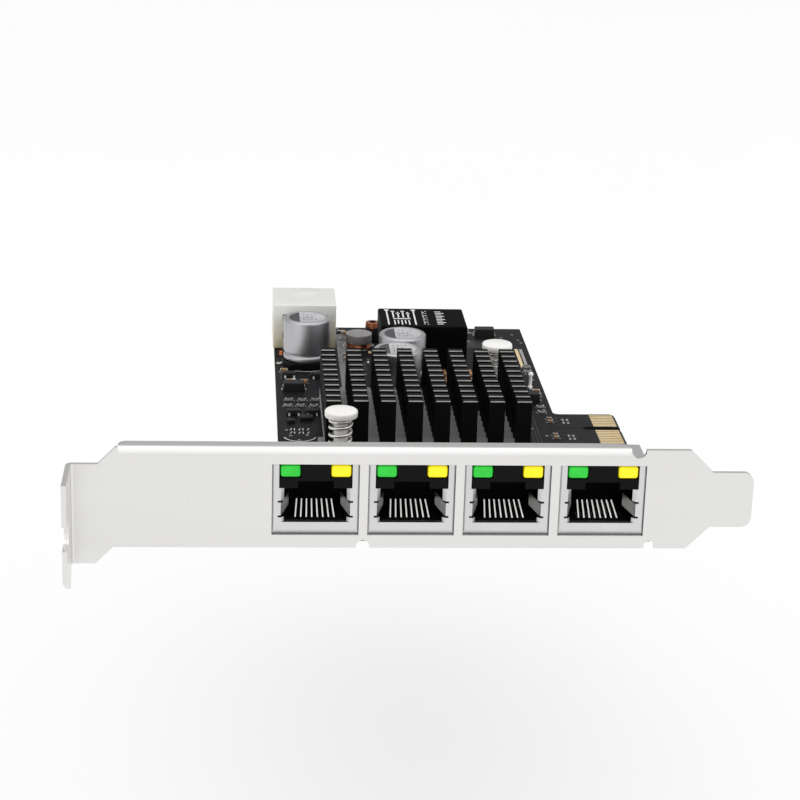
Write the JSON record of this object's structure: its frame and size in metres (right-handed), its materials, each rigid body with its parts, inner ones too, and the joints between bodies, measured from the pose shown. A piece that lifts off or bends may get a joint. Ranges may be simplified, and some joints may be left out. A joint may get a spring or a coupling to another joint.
{
  "type": "network interface card",
  "caption": "Expansion card with network ports in a full-height bracket, a pin-fin heat sink held by sprung push pins, a power header and a keyed gold edge connector.",
  "frame": {"origin": "centre of the chassis-screw notch, on the face of the bent tab that seats on the case", "axes": "+X along the bracket from the tab to the tongue and out of the card's edge connector, +Y from the bracket along the board into the case, +Z out of the board's component side"},
  "size_m": [0.1201, 0.1358, 0.0247],
  "materials": {
    "black_anodised": "black anodised aluminium, satin",
    "black_plastic": "moulded black plastic, matt",
    "bracket_steel": "satin bright plated steel sheet",
    "can_aluminium": "bright drawn aluminium with a clear sleeve lacquer",
    "capacitor_ceramic": "tan ceramic with tinned ends",
    "chip_package": "black moulded epoxy",
    "copper": "enamelled copper wire",
    "ferrite": "dark grey ferrite",
    "gold": "gold plating, smooth",
    "green_lens": "clear green light pipe",
    "module_case": "black moulded case, low gloss",
    "natural_nylon": "natural nylon, slightly translucent",
    "port_shell_tin": "tin plated sheet, satin",
    "resistor_ceramic": "black glazed ceramic with tinned ends",
    "screw_steel": "bright plated steel",
    "solder_mask": "black solder mask on glass laminate, low gloss",
    "spring_steel": "drawn spring wire",
    "thermal_pad": "soft grey pad",
    "tin_plate": "tin plating",
    "white_nylon": "white nylon",
    "yellow_lens": "clear yellow light pipe"
  },
  "bodies": {
    "root": {"bracket": "bracket_steel", "bracket_screws": "screw_steel", "capacitor_base_1": "black_plastic", "capacitor_base_2": "black_plastic", "capacitor_base_3": "black_plastic", "capacitor_can_1": "can_aluminium", "capacitor_can_2": "can_aluminium", "capacitor_can_3": "can_aluminium", "capacitor_leads": "tin_plate", "chip_capacitors": "capacitor_ceramic", "chip_resistors": "resistor_ceramic", "circuit_board": "solder_mask", "controller_chip": "chip_package", "coupling_capacitors": "capacitor_ceramic", "crystal": "tin_plate", "drum_choke_core": "ferrite", "drum_choke_winding": "copper", "edge_contacts": "gold", "green_led_1": "green_lens", "green_led_2": "green_lens", "green_led_3": "green_lens", "green_led_4": "green_lens", "heatsink": "black_anodised", "line_transformer_1": "chip_package", "line_transformer_2": "chip_package", "line_transformer_3": "chip_package", "line_transformer_4": "chip_package", "memory_chip": "chip_package", "port_contacts_1": "gold", "port_contacts_2": "gold", "port_contacts_3": "gold", "port_contacts_4": "gold", "port_housing_1": "black_plastic", "port_housing_2": "black_plastic", "port_housing_3": "black_plastic", "port_housing_4": "black_plastic", "port_shell_1": "port_shell_tin", "port_shell_2": "port_shell_tin", "port_shell_3": "port_shell_tin", "port_shell_4": "port_shell_tin", "power_diodes": "chip_package", "power_header": "natural_nylon", "power_header_blades": "tin_plate", "power_module": "module_case", "power_module_pins": "tin_plate", "push_pin_front": "white_nylon", "push_pin_rear": "white_nylon", "push_pin_spring_front": "spring_steel", "push_pin_spring_rear": "spring_steel", "small_transistors": "chip_package", "tall_choke_core": "ferrite", "tall_choke_winding": "copper", "test_pin": "white_nylon", "thermal_pad": "thermal_pad", "yellow_led_1": "yellow_lens", "yellow_led_2": "yellow_lens", "yellow_led_3": "yellow_lens", "yellow_led_4": "yellow_lens"}
  },
  "joints": []
}
